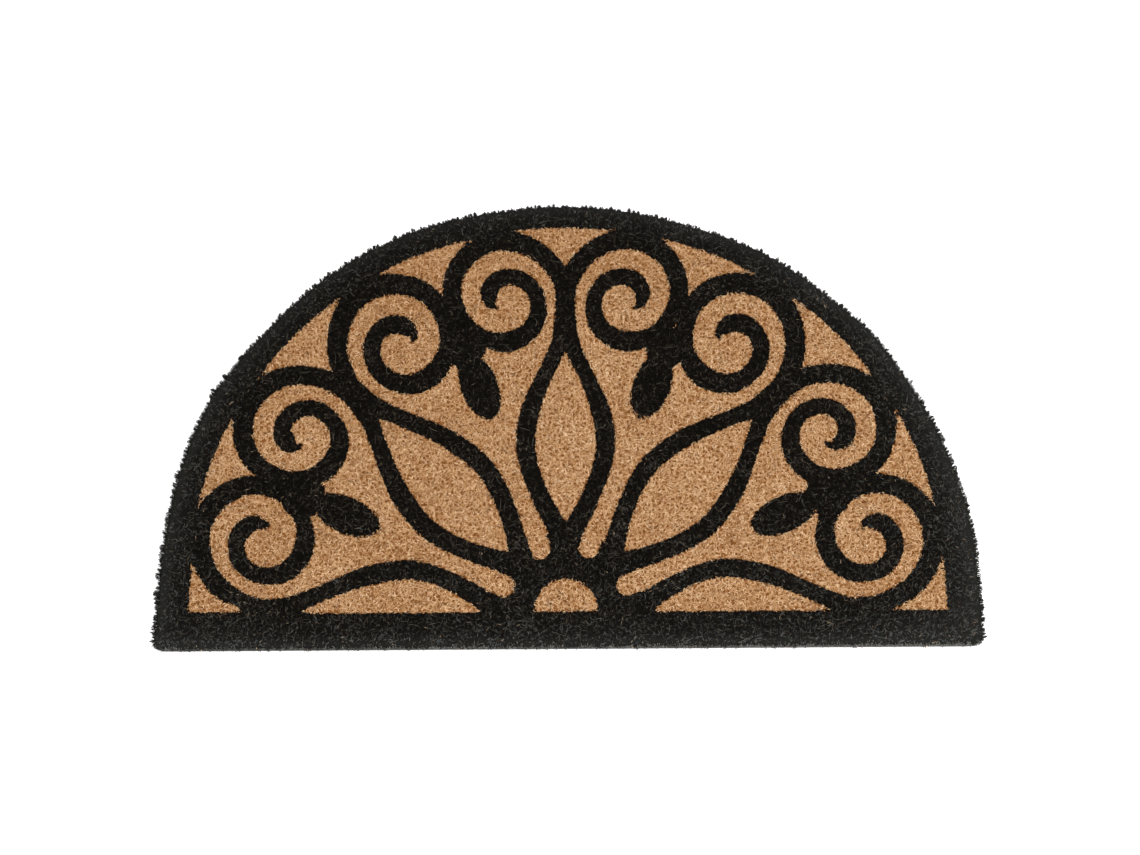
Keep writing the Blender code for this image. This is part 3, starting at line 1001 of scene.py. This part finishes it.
def makeStrays():
    # long thin fibres that lie loose on the top: a three-sided tube along an arc, pointed at both ends
    rng = np.random.default_rng(strays["seed"])
    count, steps = strays["count"], strays["steps"]
    x = rng.uniform(-mat["halfWidth"], mat["halfWidth"], count * 2)
    y = rng.uniform(mat["frontY"], -mat["frontY"], count * 2)
    keep = np.flatnonzero(insideCut(x, y)[0] > strays["edge"])[:count]
    x, y = x[keep], y[keep]
    count = len(x)
    length = rng.uniform(*strays["length"], count) * mm
    start = rng.uniform(0, fullTurn, count)
    curl = np.radians(rng.normal(0, strays["curl"], count))
    t = np.linspace(0, 1, steps)
    heading = start[:, None] + curl[:, None] * (t - 0.5)
    stepX, stepY = np.cos(heading) * length[:, None] / (steps - 1), np.sin(heading) * length[:, None] / (steps - 1)
    pathX, pathY = x[:, None] + np.cumsum(stepX, 1) - stepX, y[:, None] + np.cumsum(stepY, 1) - stepY
    arch = rng.uniform(*strays["arch"], count)[:, None] * mm * np.sin(math.pi * t)
    path = np.stack((pathX, pathY, topHeight(pathX, pathY) + strays["clear"] * mm + arch), -1)
    radius = rng.uniform(*strays["width"], count)[:, None] * mm / 2 * (1 - np.abs(2 * t - 1) ** 6)
    side = np.stack((-np.sin(heading), np.cos(heading), np.zeros_like(heading)), -1)
    rings = []
    for angle in np.radians((90, 210, 330)):
        rings.append(path + radius[..., None] * (side * math.cos(angle) + np.array((0, 0, 1)) * math.sin(angle)))
    points = np.stack(rings, 2).reshape(-1, 3)
    fibre, step, corner = np.meshgrid(np.arange(count), np.arange(steps - 1), np.arange(3), indexing="ij")
    base = (fibre * steps + step) * 3
    a, b = base + corner, base + (corner + 1) % 3
    cells = np.stack((a, a + 3, b + 3, a, b + 3, b), -1).reshape(-1, 3)
    tint = np.clip(rng.normal(strays["tint"], strays["tintSpread"], count), *tintEnds)
    u = tint[:, None, None] + np.array((-tintHalf, 0, tintHalf))
    uv = np.stack(np.broadcast_arrays(u, t[:, None]), -1).reshape(-1, 2)
    return [newPiece("strayFibres", points, cells, fibreOf["stray"], uv)]


backing = makeBacking()
print("backing made")
bed = makeBed()
print("bed made")
cover = makePlainPile()
print("plain pile made")
cover += makeDyedPile()
print("dyed pile made")
cover += makeRimPile()
cover += makeStrays()
print("rim and stray fibres made")

counts = {piece.name: len(piece.data.polygons) for piece in [backing, bed] + cover}
print("faces", counts, "in all", sum(counts.values()))
